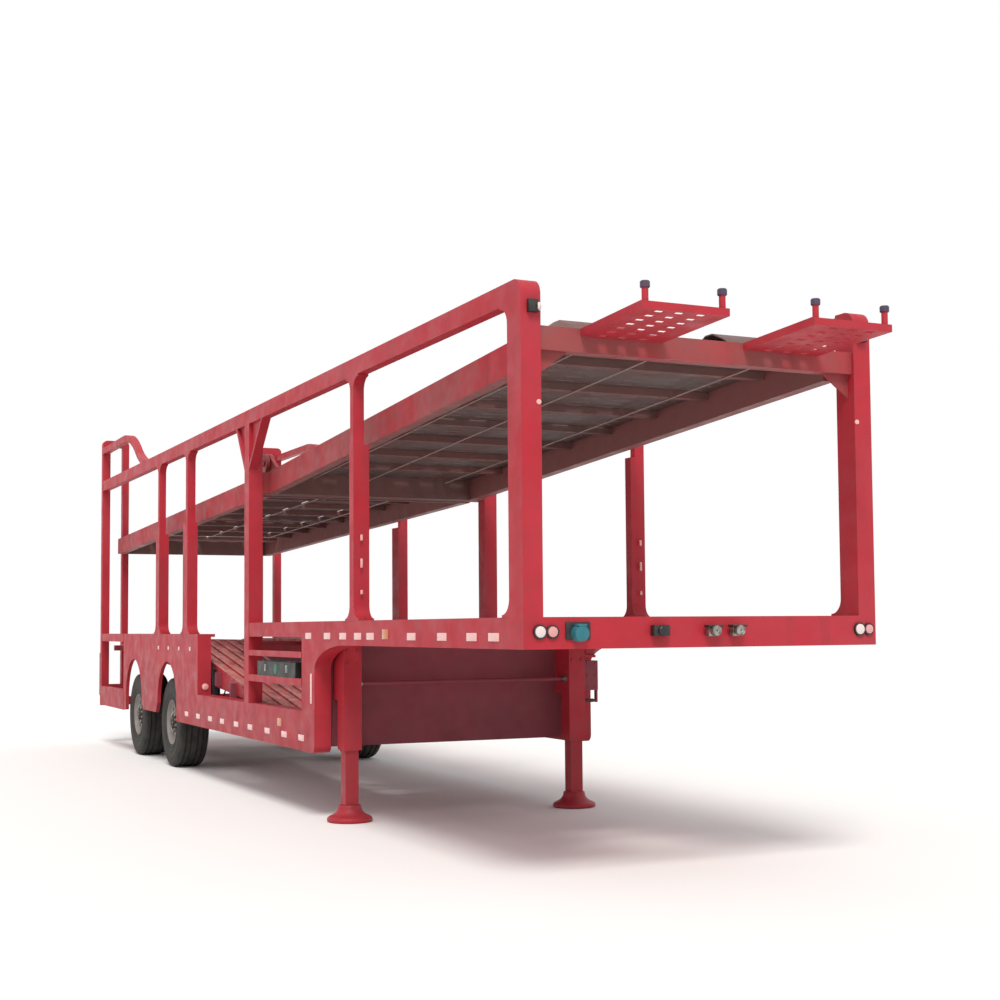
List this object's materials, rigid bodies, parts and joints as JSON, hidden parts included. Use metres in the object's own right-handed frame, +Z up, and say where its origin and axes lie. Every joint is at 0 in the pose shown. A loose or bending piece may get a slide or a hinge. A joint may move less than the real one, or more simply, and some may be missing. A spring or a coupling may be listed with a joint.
{
  "type": "car transporter semi-trailer",
  "caption": "Double-deck car transporter semi-trailer with a gooseneck, side posts and rails, a hinged rear upper deck, landing legs and single-tyre rear axles.",
  "frame": {"origin": "on the ground under the middle of the whole trailer, trays and tail lamps included", "axes": "+X forward towards the king pin and the front trays, +Y to the trailer's left side, +Z up"},
  "size_m": [13.82, 2.5, 4.09],
  "materials": {
    "red_paint": "weathered gloss",
    "deck_plate_paint": "matt, dirty",
    "running_gear_paint": "satin",
    "wheel_paint": "satin",
    "tyre_rubber": "matt",
    "lamp_lens": "gloss",
    "box_paint": "satin"
  },
  "bodies": {
    "chassis": {"axles": "running_gear_paint", "chassis_beams": "red_paint", "coupler_plate": "red_paint", "deck_trays": "red_paint", "equipment_box": "box_paint", "fenders": "red_paint", "front_cross_beam": "red_paint", "front_posts": "red_paint", "gooseneck_beams": "red_paint", "gooseneck_cross_members": "red_paint", "gooseneck_tracks": "red_paint", "high_cross_members": "red_paint", "landing_feet": "red_paint", "landing_legs": "red_paint", "landing_shaft": "running_gear_paint", "leaf_springs": "running_gear_paint", "low_beams": "red_paint", "low_cross_members": "red_paint", "low_tracks": "red_paint", "mid_posts": "red_paint", "neck_panel": "red_paint", "rear_towers": "red_paint", "side_bars": "red_paint", "side_posts": "red_paint", "spring_hangers": "running_gear_paint", "spring_pads": "running_gear_paint", "tail_beam": "red_paint", "tail_lamps": "lamp_lens", "tail_side_rails": "red_paint", "top_rails": "red_paint", "underrun_bar": "red_paint", "upper_cross_beam": "red_paint", "upper_front_beams": "red_paint", "upper_front_members": "red_paint", "upper_front_plates": "deck_plate_paint"},
    "wheel_front_right": {"tyre_front_right": "tyre_rubber", "rim_front_right": "wheel_paint"},
    "wheel_front_left": {"tyre_front_left": "tyre_rubber", "rim_front_left": "wheel_paint"},
    "wheel_rear_right": {"tyre_rear_right": "tyre_rubber", "rim_rear_right": "wheel_paint"},
    "wheel_rear_left": {"tyre_rear_left": "tyre_rubber", "rim_rear_left": "wheel_paint"},
    "rear_upper_deck": {"rear_deck_beams": "red_paint", "rear_deck_members": "red_paint", "rear_deck_plates": "deck_plate_paint"}
  },
  "joints": [
    {"name": "wheel_front_right_spin", "type": "hinge", "parent": "chassis", "child": "wheel_front_right", "pos_m": [-2.88, -1.025, 0.49], "axis": [0, 1, 0], "continuous": true},
    {"name": "wheel_front_left_spin", "type": "hinge", "parent": "chassis", "child": "wheel_front_left", "pos_m": [-2.88, 1.025, 0.49], "axis": [0, 1, 0], "continuous": true},
    {"name": "wheel_rear_right_spin", "type": "hinge", "parent": "chassis", "child": "wheel_rear_right", "pos_m": [-4.68, -1.025, 0.49], "axis": [0, 1, 0], "continuous": true},
    {"name": "wheel_rear_left_spin", "type": "hinge", "parent": "chassis", "child": "wheel_rear_left", "pos_m": [-4.68, 1.025, 0.49], "axis": [0, 1, 0], "continuous": true},
    {"name": "rear_deck_tilt", "type": "hinge", "parent": "chassis", "child": "rear_upper_deck", "pos_m": [0.31, 0, 3.06], "axis": [0, -1, 0], "range_deg": [-3, 8.5]}
  ]
}
